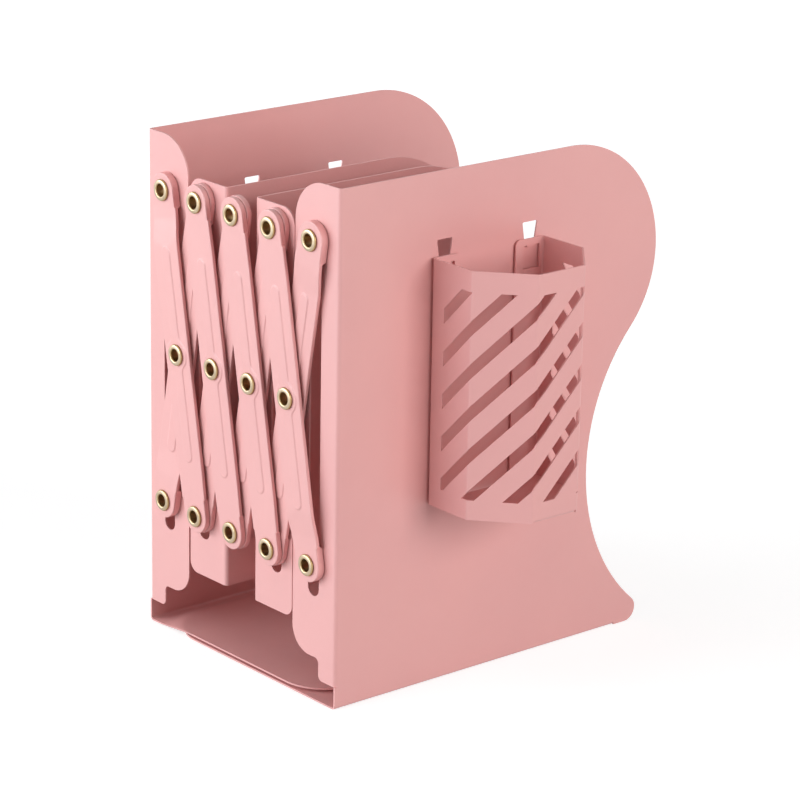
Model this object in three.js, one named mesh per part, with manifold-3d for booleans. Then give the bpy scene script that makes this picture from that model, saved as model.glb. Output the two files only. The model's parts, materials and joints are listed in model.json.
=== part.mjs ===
// Expandable bookend with a hung pen holder, in millimetres, +Z up.
// X is the way the bookend expands, Y is its depth, and Z = 0 is the table.
// The linkage is on the front, at -Y, and the end plates' curved edges are at +Y.

import * as THREE from 'three';
import { mergeVertices } from 'three/addons/utils/BufferGeometryUtils.js';
import Module from 'manifold-3d';

const wasm = await Module();
wasm.setup();

// Sheet and gaps
const sheet = 1;
const gap = 0.3;
const seat = 0.2;
const overrun = 2;
const weld = 0.0003;
const bendOuter = 1.6;
const bendFacets = 4;
const smallFacets = 4;
const cornerFacets = 8;
const arcStep = Math.PI / 30;

// Linkage
const columns = 5;
const pitch = 23.6;
const armReach = 132.7;
const lowRivetZ = 57.47;
const maxFold = THREE.MathUtils.degToRad(60);

// End plates
const plateAboveRivet = 22;
const rivetToFace = 13.9;
const crownRadius = 48;
const crownCentreY = 117.6;
const waistRadius = 84.1;
const waistCentreZ = 73;
const toeRadius = 5.5;

// Front flanges of the end plates
const flangeBeyondRivet = 13;
const flangeTopRadius = 16.5;
const flangeBottomZ = 18.4;
const flangeBottomRadius = 10.4;
const heelWidth = 10.4;
const heelZ = 9.5;
const heelRadius = 2.2;

// Bases
const footShort = 11.2;
const baseFrontY = 1.2;
const baseRearY = 150;
const baseCornerRadius = 19;
const baseFacets = 10;
const joggleRun = 6;

// Hook holes in the end plates
const hookHoleBelowTop = 27.2;
const hookHoleHeight = 10.1;
const hookHoleTopWidth = 7.7;
const hookHoleBottomWidth = 4.8;
const hookCentreY = 73.9;

// Dividers
const dividerRivetToFace = 14.5;
const flangeSpacing = 0.5;
const dividerAboveRivet = 8.3;
const dividerBelowRivet = 26.87;
const dividerTopRadius = 7;
const dividerBottomRadius = 4.5;
const dividerCrownRadius = 44;
const dividerCrownCentreY = 82;
const dividerWaistRadius = 62;
const dividerWaistDrop = 72;
const dividerToeRadius = 12;

// Slots that the lower rivets slide in
const slotBelowRivet = 13.6;
const dividerSlotBelowRivet = 10.9;
const slotAboveRivet = 43;

// Eyelet rivets
const eyeletBore = 2.7;
const eyeletBarrel = 3.1;
const eyeletFlange = 4.4;
const eyeletCrown = 1;
const eyeletRear = 4.2;
const eyeletRoll = 0.7;
const eyeletSides = 14;
// From bore to rim and from seat to crest, of the crowned face and of the rolled rear edge
const eyeletFaceShares = [[0, 0.4], [0.1, 0.8], [0.32, 1], [0.58, 0.9], [0.9, 0.6], [1, 0]];
const eyeletRollShares = [[1, 0], [0.88, 0.7], [0.47, 1], [0, 0.6]];

// Pressed arms
const armEndRadius = 7;
const armHalfWidth = 7.9;
const armEdgeRadius = 0.9;
const armBodyDepth = 1.3;
const cupDepth = 2.1;
const cupLength = 6.7;
const cupStep = 0.8;
const cupJog = 0.6;
const endArcFacets = 10;
const holeFacets = 12;
const outerSet = 1.4;
const innerSet = 1;
const ribWidth = 5.2;
const ribNear = 14;
const ribFromEnd = 22.35;
const ribHeight = 0.4;
const ribFacets = 5;
const padRadius = 6.2;
const padFacets = 14;

// Pen holder
const penHeight = 100;
const penWidth = 57.6;
const penDepth = 43.3;
const penSideDepth = 23.8;
const penFrontWidth = 23.2;
const penTabWidth = 15;
const penTabRadius = 2.5;
const slatPitch = 17.2;
const slatOpening = 6.2;
const slatFirst = 74;
const slatMarginSide = 7.6;
const slatMarginTop = 8.4;
const slatMarginBottom = 8;
const slatCount = 11;
const hookWindowWidth = 8.5;
const hookWindowHeight = 9.6;
const hookWindowBelowTop = 2.4;
const hookFromSide = 6.8;
const hookWidth = 4.1;
const hookDrop = 7;

// The linkage, worked out from the sizes above
const halfSpan = (columns - 1) / 2;
const halfWidth = halfSpan * pitch + rivetToFace;
const flangeWidth = rivetToFace + flangeBeyondRivet;
const dividerFaceX = (halfSpan - 1) * pitch - dividerRivetToFace;
const dividerFlangeWidth = halfWidth - flangeWidth - flangeSpacing - dividerFaceX;
const restFold = Math.asin(pitch / armReach);
const armHalf = armReach / 2;
const topRivetZ = lowRivetZ + armReach * Math.cos(restFold);
const midRivetZ = (topRivetZ + lowRivetZ) / 2;
const raisedRivetZ = topRivetZ - armReach * Math.cos(maxFold);
const cupEnd = armHalf - cupLength;
const ribFar = armHalf - ribFromEnd;
const setNear = ribFar + gap;
const setFar = cupEnd - 2 * cupStep;
const holeRadius = eyeletBarrel + gap;
const innerFace = gap + cupDepth;
const outerFace = innerFace + gap + cupDepth;

// The plates and the pen holder, worked out from the linkage
const plateHeight = topRivetZ + plateAboveRivet;
const crownCentreZ = plateHeight - crownRadius;
const waistReach = Math.sqrt((crownRadius + waistRadius) ** 2 - (crownCentreZ - waistCentreZ) ** 2);
const waistCentreY = crownCentreY + waistReach;
const dividerTopZ = topRivetZ + dividerAboveRivet;
const dividerBottomZ = lowRivetZ - dividerBelowRivet;
const baseReach = 2 * halfWidth - footShort;
const joggleEnd = footShort - gap;
const joggleStart = joggleEnd - joggleRun;
const hookHoleTopZ = plateHeight - hookHoleBelowTop;
const hookHoleBottomZ = hookHoleTopZ - hookHoleHeight;
const hookTopZ = hookHoleBottomZ + seat + sheet;
const hookSpacing = penWidth - 2 * hookFromSide;
const penTopZ = hookTopZ + hookWindowBelowTop;
const penBottomZ = penTopZ - penHeight;
const columnX = (column) => (column - halfSpan) * pitch;

const sheetPink = 0xdd9a96;
const brass = 0xd9b676;

function steel() {
  return new THREE.MeshStandardMaterial({ color: sheetPink, roughness: 0.55, metalness: 0 });
}

function brassPlate() {
  return new THREE.MeshStandardMaterial({ color: brass, roughness: 0.3, metalness: 1 });
}

// Turns a closed geometry into a solid that can be cut and joined
function solid(geometry) {
  const bare = geometry.clone();
  bare.deleteAttribute('normal');
  bare.deleteAttribute('uv');
  const merged = mergeVertices(bare, weld);
  return new wasm.Manifold(new wasm.Mesh({
    numProp: 3,
    vertProperties: new Float32Array(merged.attributes.position.array),
    triVerts: new Uint32Array(merged.index.array),
  }));
}

function geometryOf(body) {
  const mesh = body.getMesh();
  const geometry = new THREE.BufferGeometry();
  geometry.setAttribute('position', new THREE.BufferAttribute(new Float32Array(mesh.vertProperties), 3));
  geometry.setIndex(new THREE.BufferAttribute(new Uint32Array(mesh.triVerts), 1));
  geometry.computeVertexNormals();
  return geometry;
}

function namedMesh(name, geometry, material) {
  const mesh = new THREE.Mesh(geometry, material);
  mesh.name = name;
  return mesh;
}

// Points of an arc, in order from one angle to the other
function arc(centreA, centreB, radius, from, to, facets) {
  const count = facets ?? Math.max(2, Math.ceil(Math.abs(to - from) / arcStep));
  return Array.from({ length: count + 1 }, (_, i) => {
    const angle = from + ((to - from) * i) / count;
    return [centreA + radius * Math.cos(angle), centreB + radius * Math.sin(angle)];
  });
}

function prism(points, depth) {
  const shape = new THREE.Shape(points.map(([a, b]) => new THREE.Vector2(a, b)));
  return new THREE.ExtrudeGeometry(shape, { depth, bevelEnabled: false });
}

// A prism whose outline is drawn in X and Y, and which runs up from low to high
function prismZ(points, low, high) {
  return solid(prism(points, high - low).translate(0, 0, low));
}

// A prism whose outline is drawn in Y and Z, and which runs along X
function prismX(points, low, high) {
  const turn = new THREE.Matrix4().makeBasis(
    new THREE.Vector3(0, 1, 0), new THREE.Vector3(0, 0, 1), new THREE.Vector3(1, 0, 0));
  return solid(prism(points, high - low).applyMatrix4(turn).translate(low, 0, 0));
}

// A prism whose outline is drawn in X and Z, and which runs along Y
function prismY(points, low, high) {
  return solid(prism(points, high - low).rotateX(Math.PI / 2).translate(0, high, 0));
}

// The curved outline of an end plate in Y and Z: crown, waist and toe
function endOutline(frontY) {
  const lean = Math.atan2(waistCentreZ - crownCentreZ, waistCentreY - crownCentreY);
  const toeReach = Math.sqrt((waistRadius + toeRadius) ** 2 - (waistCentreZ - toeRadius) ** 2);
  const toeCentreY = waistCentreY - toeReach;
  const toeLean = Math.atan2(waistCentreZ - toeRadius, toeReach);
  return [
    [frontY, 0],
    ...arc(toeCentreY, toeRadius, toeRadius, -Math.PI / 2, toeLean, cornerFacets),
    ...arc(waistCentreY, waistCentreZ, waistRadius, Math.PI + toeLean, Math.PI + lean).slice(1),
    ...arc(crownCentreY, crownCentreZ, crownRadius, lean, Math.PI / 2).slice(1),
    [frontY, plateHeight],
  ];
}

// A divider's outline in Y and Z, a smaller curve of the same kind
function dividerOutline(frontY) {
  const crownZ = dividerTopZ - dividerCrownRadius;
  const waistZ = crownZ - dividerWaistDrop;
  const between = dividerCrownRadius + dividerWaistRadius;
  const waistY = dividerCrownCentreY + Math.sqrt(between ** 2 - dividerWaistDrop ** 2);
  const lean = Math.atan2(-dividerWaistDrop, waistY - dividerCrownCentreY);
  const toeZ = dividerBottomZ + dividerToeRadius;
  const toeBetween = dividerWaistRadius + dividerToeRadius;
  const toeReach = Math.sqrt(toeBetween ** 2 - (waistZ - toeZ) ** 2);
  const toeLean = Math.atan2(waistZ - toeZ, toeReach);
  return [
    [frontY, dividerBottomZ],
    ...arc(waistY - toeReach, toeZ, dividerToeRadius, -Math.PI / 2, toeLean, cornerFacets),
    ...arc(waistY, waistZ, dividerWaistRadius, Math.PI + toeLean, Math.PI + lean).slice(1),
    ...arc(dividerCrownCentreY, crownZ, dividerCrownRadius, lean, Math.PI / 2).slice(1),
    [frontY, dividerTopZ],
  ];
}

// An L of sheet with a rounded bend: one leg along the first axis, one along the second
function bentSection(firstLeg, secondLeg) {
  return [
    [firstLeg, 0],
    [firstLeg, sheet],
    ...arc(bendOuter, bendOuter, bendOuter - sheet, -Math.PI / 2, -Math.PI, bendFacets),
    [sheet, secondLeg],
    [0, secondLeg],
    ...arc(bendOuter, bendOuter, bendOuter, Math.PI, Math.PI * 1.5, bendFacets),
  ];
}

// The front flange of an end plate, as distance from the plate's outer face and height
function endFlangeOutline() {
  const topCentre = [flangeWidth - flangeTopRadius, plateHeight - flangeTopRadius];
  const bottomCentre = [flangeWidth - flangeBottomRadius, flangeBottomZ + flangeBottomRadius];
  return [
    [-overrun, heelZ],
    ...arc(heelWidth - heelRadius, heelZ + heelRadius, heelRadius, -Math.PI / 2, 0, smallFacets),
    ...arc(heelWidth + heelRadius, flangeBottomZ - heelRadius, heelRadius,
      Math.PI, Math.PI / 2, smallFacets),
    ...arc(bottomCentre[0], bottomCentre[1], flangeBottomRadius, -Math.PI / 2, 0, cornerFacets),
    ...arc(topCentre[0], topCentre[1], flangeTopRadius, 0, Math.PI / 2, cornerFacets),
    [-overrun, plateHeight],
  ];
}

function dividerFlangeOutline() {
  const width = dividerFlangeWidth;
  const topCentre = [width - dividerTopRadius, dividerTopZ - dividerTopRadius];
  const bottomCentre = [width - dividerBottomRadius, dividerBottomZ + dividerBottomRadius];
  return [
    [-overrun, dividerBottomZ],
    ...arc(bottomCentre[0], bottomCentre[1], dividerBottomRadius, -Math.PI / 2, 0, cornerFacets),
    ...arc(topCentre[0], topCentre[1], dividerTopRadius, 0, Math.PI / 2, cornerFacets),
    [-overrun, dividerTopZ],
  ];
}

// Rivet hole and slot through a flange, cut along Y
function flangeCuts(x, slotBelow) {
  const slotLow = lowRivetZ - slotBelow + holeRadius;
  const slotHigh = raisedRivetZ + slotAboveRivet;
  const hole = arc(x, topRivetZ, holeRadius, 0, Math.PI * 2, holeFacets).slice(1);
  const slot = [
    ...arc(x, slotLow, holeRadius, Math.PI, Math.PI * 2, cornerFacets),
    ...arc(x, slotHigh, holeRadius, 0, Math.PI, cornerFacets),
  ];
  return prismY(hole, -overrun, sheet + overrun).add(prismY(slot, -overrun, sheet + overrun));
}

// A bent plate with a front flange, not yet cut: side +1 has its outer face towards +X
function flangedPlate(faceX, side, outline, flange, width, lowZ, topZ) {
  const across = (u) => faceX - side * u;
  const toX = (points) => points.map(([u, other]) => [across(u), other]);
  const inner = across(sheet);
  const outer = across(-overrun);
  const plan = bentSection(width + overrun, waistCentreY);
  const bar = prismZ(toX(plan), lowZ, topZ);
  const plateMask = prismX(outline(-overrun), Math.min(inner, outer), Math.max(inner, outer));
  const flangeMask = prismY(toX(flange), -overrun, bendOuter);
  return bar.intersect(plateMask.add(flangeMask));
}

// The bent-in foot of an end plate: the lifted one rides over the other plate's foot
function foot(faceX, side, lifted) {
  const across = (u) => faceX - side * u;
  const toX = (points) => points.map(([u, other]) => [across(u), other]);
  const rise = lifted ? sheet + gap : 0;
  const leg = bendOuter + overrun;
  const flat = lifted
    ? [[joggleStart, 0], [joggleEnd, rise], [baseReach, rise],
      [baseReach, rise + sheet], [joggleEnd, rise + sheet], [joggleStart, sheet]]
    : [[baseReach, 0], [baseReach, sheet]];
  const section = [
    ...flat,
    ...arc(bendOuter, bendOuter, bendOuter - sheet, -Math.PI / 2, -Math.PI, bendFacets),
    [sheet, leg],
    [0, leg],
    ...arc(bendOuter, bendOuter, bendOuter, Math.PI, Math.PI * 1.5, bendFacets),
  ];
  const r = baseCornerRadius;
  const plan = [
    [-overrun, baseFrontY],
    ...arc(baseReach - r, baseFrontY + r, r, -Math.PI / 2, 0, baseFacets),
    ...arc(baseReach - r, baseRearY - r, r, 0, Math.PI / 2, baseFacets),
    [-overrun, baseRearY],
  ];
  const inner = across(sheet);
  const outer = across(-overrun);
  const footMask = prismZ(toX(plan), -overrun, leg);
  const plateMask = prismX(endOutline(0), Math.min(inner, outer), Math.max(inner, outer));
  return prismY(toX(section), 0, waistCentreY).intersect(footMask.add(plateMask));
}

// A hook hole narrows downwards, so a hook drops in at its top and seats at its bottom
function hookHoles(faceX) {
  const reach = sheet + overrun;
  const hole = (centreY) => prismX([
    [centreY - hookHoleBottomWidth / 2, hookHoleBottomZ],
    [centreY + hookHoleBottomWidth / 2, hookHoleBottomZ],
    [centreY + hookHoleTopWidth / 2, hookHoleTopZ],
    [centreY - hookHoleTopWidth / 2, hookHoleTopZ],
  ], faceX - reach, faceX + reach);
  return hole(hookCentreY - hookSpacing / 2).add(hole(hookCentreY + hookSpacing / 2));
}

function endPlate(name, side) {
  const faceX = side * halfWidth;
  const upper = flangedPlate(faceX, side, endOutline, endFlangeOutline(), flangeWidth,
    bendOuter, plateHeight);
  const cuts = flangeCuts(faceX - side * rivetToFace, slotBelowRivet).add(hookHoles(faceX));
  const body = upper.add(foot(faceX, side, side < 0)).subtract(cuts);
  return namedMesh(name, geometryOf(body), steel());
}

function divider(name, side) {
  const faceX = -side * dividerFaceX;
  const cuts = flangeCuts(faceX - side * dividerRivetToFace, dividerSlotBelowRivet);
  const body = flangedPlate(faceX, side, dividerOutline, dividerFlangeOutline(), dividerFlangeWidth,
    dividerBottomZ, dividerTopZ).subtract(cuts);
  return namedMesh(name, geometryOf(body), steel());
}

// How far an arm's face is set in from its usual layer at a place along it
function setAt(place, upper, lower) {
  const share = THREE.MathUtils.clamp((Math.abs(place) - setNear) / (setFar - setNear), 0, 1);
  return share * (place > 0 ? upper.set : lower.set);
}

// Closed outline of an arm, drawn inwards by inset: [across, along] points, anticlockwise
function armOutline(inset) {
  const radius = armEndRadius - inset;
  const edges = [
    [radius, cupEnd],
    [radius + cupJog, cupEnd - cupStep],
    [radius + cupJog, setFar],
    [armHalfWidth - inset, setNear],
  ];
  const right = [...edges.map(([across, along]) => [across, -along]), ...[...edges].reverse()];
  const left = right.map(([across, along]) => [-across, along]).reverse();
  return [
    ...right,
    ...arc(0, armHalf, radius, 0, Math.PI, endArcFacets),
    ...left,
    ...arc(0, -armHalf, radius, Math.PI, Math.PI * 2, endArcFacets),
  ];
}

function circle(centreAcross, centreAlong, radius, facets) {
  return arc(centreAcross, centreAlong, radius, 0, Math.PI * 2, facets).slice(1);
}

// A round-ended rib along the arm, between two places
function ribOutline(low, high, inset) {
  const radius = ribWidth / 2 - inset;
  return [
    ...arc(0, high - ribWidth / 2, radius, 0, Math.PI, ribFacets),
    ...arc(0, low + ribWidth / 2, radius, Math.PI, Math.PI * 2, ribFacets),
  ];
}

// Gathers rings of points and the triangles between them into one closed geometry.
// A point is [across, along, out], with out measured forwards from the flanges' faces.
class Shell {
  constructor() {
    this.points = [];
    this.faces = [];
  }

  ring(outline, outAt) {
    const first = this.points.length;
    for (const [across, along] of outline) this.points.push([across, along, outAt(along)]);
    return { first, outline };
  }

  // Joins two rings of equal count; the path from a to b has the outside on its left
  strip(a, b) {
    const count = a.outline.length;
    for (let i = 0; i < count; i += 1) {
      const j = (i + 1) % count;
      this.faces.push([a.first + i, a.first + j, b.first + i]);
      this.faces.push([a.first + j, b.first + j, b.first + i]);
    }
  }

  // Fills a ring, less the holes, one band at a time so that each band stays flat
  cap(ring, holes, bandEnds, forwards) {
    for (let band = 0; band + 1 < bandEnds.length; band += 1) {
      const [low, high] = [bandEnds[band], bandEnds[band + 1]];
      const inBand = ([, along]) => along >= low && along <= high;
      const indices = [];
      const contour = [];
      ring.outline.forEach((point, i) => {
        if (!inBand(point)) return;
        contour.push(new THREE.Vector2(...point));
        indices.push(ring.first + i);
      });
      const inside = holes.filter((hole) => hole.outline.every(inBand));
      const loops = inside.map((hole) => hole.outline.map((point) => new THREE.Vector2(...point)));
      for (const hole of inside) hole.outline.forEach((_, i) => indices.push(hole.first + i));
      for (const face of THREE.ShapeUtils.triangulateShape(contour, loops)) {
        this.face(face.map((i) => indices[i]), forwards);
      }
    }
  }

  face([a, b, c], forwards) {
    const [pa, pb, pc] = [a, b, c].map((i) => this.points[i]);
    const turn = (pb[0] - pa[0]) * (pc[1] - pa[1]) - (pb[1] - pa[1]) * (pc[0] - pa[0]);
    this.faces.push((turn > 0) === forwards ? [a, b, c] : [a, c, b]);
  }

  geometry() {
    const geometry = new THREE.BufferGeometry();
    const places = this.points.flatMap(([across, along, out]) => [across, -out, along]);
    geometry.setAttribute('position', new THREE.Float32BufferAttribute(places, 3));
    geometry.setIndex(this.faces.flat());
    geometry.computeVertexNormals();
    return geometry;
  }
}

// A pressed arm: a soft-edged channel with a deeper cup round each end, a round pad at its
// middle and a rib each side of it. Each end gives how far it is set in and where its rim is.
function pressedArm(face, padHeight, upper, lower) {
  const shell = new Shell();
  const faceAt = (along) => face - setAt(along, upper, lower);
  const at = (depth) => (along) => faceAt(along) - depth;
  const rimAt = (along) => {
    if (along >= cupEnd) return upper.rim;
    if (along <= -cupEnd) return lower.rim;
    return faceAt(along) - armBodyDepth;
  };
  const soft = armEdgeRadius * (1 - Math.SQRT1_2);
  const bandEnds = [-armReach, -setFar, -setNear, setNear, setFar, armReach];

  const back = shell.ring(armOutline(sheet), at(sheet));
  const innerRim = shell.ring(armOutline(sheet), rimAt);
  const outerRim = shell.ring(armOutline(0), rimAt);
  const shoulder = shell.ring(armOutline(0), at(armEdgeRadius));
  const chamfer = shell.ring(armOutline(soft), at(soft));
  const front = shell.ring(armOutline(armEdgeRadius), at(0));
  const path = [back, innerRim, outerRim, shoulder, chamfer, front];
  path.slice(1).forEach((ring, i) => shell.strip(path[i], ring));

  const holeLoop = (along, out) => shell.ring(circle(0, along, holeRadius, holeFacets), out);
  const ends = [-armHalf, armHalf];
  const frontEnds = ends.map((along) => holeLoop(along, at(0)));
  const backEnds = ends.map((along) => holeLoop(along, at(sheet)));
  frontEnds.forEach((loop, i) => shell.strip(loop, backEnds[i]));

  const padFoot = shell.ring(circle(0, 0, padRadius, padFacets), at(0));
  const padTop = shell.ring(circle(0, 0, padRadius - ribHeight, padFacets), at(-padHeight));
  const padHole = holeLoop(0, at(-padHeight));
  const padBack = holeLoop(0, at(sheet));
  shell.strip(padFoot, padTop);
  shell.strip(padHole, padBack);
  shell.cap(padTop, [padHole], [-armReach, armReach], true);

  const spans = [[ribNear, ribFar], [-ribFar, -ribNear]];
  const ribBases = spans.map(([low, high]) => shell.ring(ribOutline(low, high, 0), at(0)));
  ribBases.forEach((base, i) => {
    const top = shell.ring(ribOutline(...spans[i], ribHeight), at(-ribHeight));
    shell.strip(base, top);
    shell.cap(top, [], [-armReach, armReach], true);
  });

  shell.cap(front, [...frontEnds, padFoot, ...ribBases], bandEnds, true);
  shell.cap(back, [...backEnds, padBack], bandEnds, false);
  return shell.geometry();
}

// Arms of one layer and crossing: an outer arm leans left at its top, an inner one right
function arm(name, crossing, outer) {
  const first = crossing === 1;
  const last = crossing === columns - 1;
  const layerRim = outer ? innerFace + gap : gap;
  const set = outer ? outerSet : -innerSet;
  const plain = { set: 0, rim: layerRim };
  const seated = { set, rim: gap };
  const upperSeated = outer ? first : last;
  const lowerSeated = outer ? last : first;
  const padHeight = outer ? ribHeight : outerFace - sheet - gap - innerFace;
  const geometry = pressedArm(outer ? outerFace : innerFace, padHeight,
    upperSeated ? seated : plain, lowerSeated ? seated : plain);
  const mesh = namedMesh(name, geometry, steel());
  mesh.rotation.y = outer ? -restFold : restFold;
  mesh.position.set(columnX(crossing - 0.5), 0, midRivetZ);
  return mesh;
}

// A hollow brass rivet: crowned front flange, barrel and rolled rear edge
function eyelet(name, x, z, seatOut, rearY) {
  const under = -seatOut - seat;
  const fromBore = (rim, share) => eyeletBore + (rim - eyeletBore) * share;
  const face = eyeletFaceShares.map(([across, up]) =>
    [fromBore(eyeletFlange, across), under - eyeletCrown * up]);
  const roll = eyeletRollShares.map(([across, up]) =>
    [fromBore(eyeletRear, across), rearY + eyeletRoll * up]);
  const profile = [...face, [eyeletBarrel, under], [eyeletBarrel, rearY], ...roll];
  profile.push(profile[0]);
  const points = profile.map(([radius, y]) => new THREE.Vector2(radius, y));
  const mesh = namedMesh(name, new THREE.LatheGeometry(points, eyeletSides), brassPlate());
  mesh.position.set(x, 0, z);
  return mesh;
}

function eyelets(group) {
  const armBack = sheet + seat - innerFace;
  for (let column = 0; column < columns; column += 1) {
    const first = column === 0;
    const last = column === columns - 1;
    const hasPlate = column !== halfSpan;
    const x = columnX(column);
    const topSeat = first ? outerFace - outerSet : last ? innerFace + innerSet : outerFace;
    const lowSeat = first ? innerFace + innerSet : last ? outerFace - outerSet : outerFace;
    group.add(eyelet(`top_rivet_${column + 1}`, x, topRivetZ, topSeat,
      hasPlate ? sheet + seat : armBack));
    group.add(eyelet(`bottom_rivet_${column + 1}`, x, lowRivetZ, lowSeat,
      hasPlate ? sheet + gap : armBack));
  }
  for (let crossing = 1; crossing < columns; crossing += 1) {
    group.add(eyelet(`middle_rivet_${crossing}`, columnX(crossing - 0.5), midRivetZ,
      outerFace + ribHeight, armBack));
  }
}

// Pen holder: its folds in plan, as distance out from the plate's face and place along Y
function penFolds() {
  const near = hookCentreY - penWidth / 2;
  const far = hookCentreY + penWidth / 2;
  const back = gap + sheet / 2;
  const skin = sheet / 2;
  return [
    [back, near + penTabWidth],
    [back, near + skin],
    [penSideDepth, near + skin],
    [penDepth - skin, hookCentreY - penFrontWidth / 2],
    [penDepth - skin, hookCentreY + penFrontWidth / 2],
    [penSideDepth, far - skin],
    [back, far - skin],
    [back, far - penTabWidth],
  ];
}

// An open path moved sideways by a distance, with mitred corners
function offsetPath(path, distance) {
  const normals = path.slice(1).map(([a, b], i) => {
    const [da, db] = [a - path[i][0], b - path[i][1]];
    const length = Math.hypot(da, db);
    return [db / length, -da / length];
  });
  return path.map(([a, b], i) => {
    const before = normals[Math.max(i - 1, 0)];
    const after = normals[Math.min(i, normals.length - 1)];
    const spread = 1 + before[0] * after[0] + before[1] * after[1];
    const shift = distance / spread;
    return [a + (before[0] + after[0]) * shift, b + (before[1] + after[1]) * shift];
  });
}

// The part of a convex polygon where a * p + b * q is at most limit
function clip(polygon, a, b, limit) {
  const value = ([p, q]) => a * p + b * q - limit;
  return polygon.flatMap((point, i) => {
    const next = polygon[(i + 1) % polygon.length];
    const [here, there] = [value(point), value(next)];
    const kept = here <= 0 ? [point] : [];
    if ((here < 0 && there > 0) || (here > 0 && there < 0)) {
      const share = here / (here - there);
      kept.push(point.map((p, axis) => p + (next[axis] - p) * share));
    }
    return kept;
  });
}

// Slanted openings at 45 degrees, drawn on the unfolded wall and cut face by face
function slatCutters(folds) {
  const faces = folds.slice(1, -1);
  const cutters = [];
  const lengths = faces.slice(1).map(([a, b], i) => Math.hypot(a - faces[i][0], b - faces[i][1]));
  const total = lengths.reduce((sum, length) => sum + length, 0);
  const top = penTopZ - slatMarginTop;
  const bottom = penBottomZ + slatMarginBottom;
  let start = 0;
  lengths.forEach((length, i) => {
    const [from, to] = [faces[i], faces[i + 1]];
    const low = Math.max(slatMarginSide, start - sheet / 2);
    const high = Math.min(total - slatMarginSide, start + length + sheet / 2);
    const window = [[low, bottom], [high, bottom], [high, top], [low, top]];
    for (let slat = 0; slat < slatCount; slat += 1) {
      const upper = penBottomZ + slatFirst - slat * slatPitch;
      const band = clip(clip(window, -1, 1, upper), 1, -1, slatOpening - upper);
      if (band.length < 3) continue;
      const local = band.map(([along, z]) => [along - start, z]);
      const flat = prism(local, sheet * 2).translate(0, 0, -sheet);
      const along = new THREE.Vector3(to[0] - from[0], to[1] - from[1], 0).divideScalar(length);
      const up = new THREE.Vector3(0, 0, 1);
      const turn = new THREE.Matrix4().makeBasis(along, up, along.clone().cross(up));
      cutters.push(solid(flat.applyMatrix4(turn).translate(halfWidth + from[0], from[1], 0)));
    }
    start += length;
  });
  return cutters.reduce((all, cutter) => all.add(cutter));
}

// A hook: a tongue of the back tab, bent through the hook hole and down behind the plate
function hook(centreY) {
  const top = hookTopZ;
  const front = halfWidth + gap + sheet;
  const back = halfWidth - sheet - gap - sheet;
  const root = [
    [back, top], [front, top], [front, top - sheet],
    [back + sheet, top - sheet], [back + sheet, top - hookDrop], [back, top - hookDrop],
  ];
  return prismY(root, centreY - hookWidth / 2, centreY + hookWidth / 2);
}

function hookWindow(centreY) {
  const top = hookTopZ;
  const half = hookWindowWidth / 2;
  return prismX([
    [centreY - half, top - hookWindowHeight], [centreY + half, top - hookWindowHeight],
    [centreY + half, top], [centreY - half, top],
  ], halfWidth, halfWidth + gap + sheet + gap);
}

// Rounds the free top corner of a back tab
function tabCorner(edgeY, inward) {
  const r = penTabRadius;
  const corner = [
    [edgeY - inward * overrun, penTopZ + overrun],
    [edgeY - inward * overrun, penTopZ - r],
    ...arc(edgeY + inward * r, penTopZ - r, r, inward > 0 ? Math.PI : 0, Math.PI / 2, smallFacets),
    [edgeY + inward * r, penTopZ + overrun],
  ];
  return prismX(corner, halfWidth, halfWidth + gap + sheet + gap);
}

function penHolder() {
  const folds = penFolds();
  const outside = offsetPath(folds, sheet / 2);
  const inside = offsetPath(folds, -sheet / 2).reverse();
  const place = (points) => points.map(([out, y]) => [halfWidth + out, y]);
  const wall = prismZ(place([...outside, ...inside]), penBottomZ, penTopZ);

  const clearPath = offsetPath(folds.slice(1, -1), -sheet / 2 - gap);
  const front = penDepth - sheet / 2;
  const floorPoints = [
    clearPath[0], clearPath[1], clearPath[2],
    [front, clearPath[2][1]], [front, clearPath[3][1]],
    clearPath[3], clearPath[4], clearPath[5],
  ];
  const floorBack = gap + sheet + gap;
  const floorPlan = floorPoints.map(([out, y]) => [Math.max(out, floorBack), y]);
  const floor = prismZ(place(floorPlan), penBottomZ, penBottomZ + sheet);

  let body = wall.add(floor).subtract(slatCutters(folds));
  for (const turn of [-1, 1]) {
    const centreY = hookCentreY + (turn * hookSpacing) / 2;
    const edgeY = hookCentreY + turn * (penWidth / 2 - penTabWidth);
    body = body.subtract(hookWindow(centreY)).subtract(tabCorner(edgeY, turn)).add(hook(centreY));
  }
  return namedMesh('pen_holder', geometryOf(body), steel());
}

const pieces = new THREE.Group();
pieces.add(endPlate('left_end_plate', -1), endPlate('right_end_plate', 1));
pieces.add(divider('left_divider', 1), divider('right_divider', -1));
for (let crossing = 1; crossing < columns; crossing += 1) {
  pieces.add(arm(`outer_arm_${crossing}`, crossing, true));
  pieces.add(arm(`inner_arm_${crossing}`, crossing, false));
}
eyelets(pieces);
pieces.add(penHolder());

// The origin is on the table, under the middle of the whole folded bookend
const frontMost = outerFace + ribHeight + seat + eyeletCrown;
const rearMost = crownCentreY + crownRadius;
pieces.position.set(-penDepth / 2, (frontMost - rearMost) / 2, 0);

const bookend = new THREE.Group();
bookend.add(pieces);

export default bookend;
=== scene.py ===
"""An expandable bookend of powder-coated sheet steel, with a pen holder hung on its right end.

Every size is in metres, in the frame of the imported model. Sheet parts are drawn as the outer
faces of their bent sheets, and then thickened. A place on a bent sheet is written as u, how far
in from the outer face of its main plate, y, how far back from the flanges' front, and z.
"""

import json
import math

import bmesh
import bpy
from mathutils import Matrix, Vector
from mathutils.geometry import delaunay_2d_cdt

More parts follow.
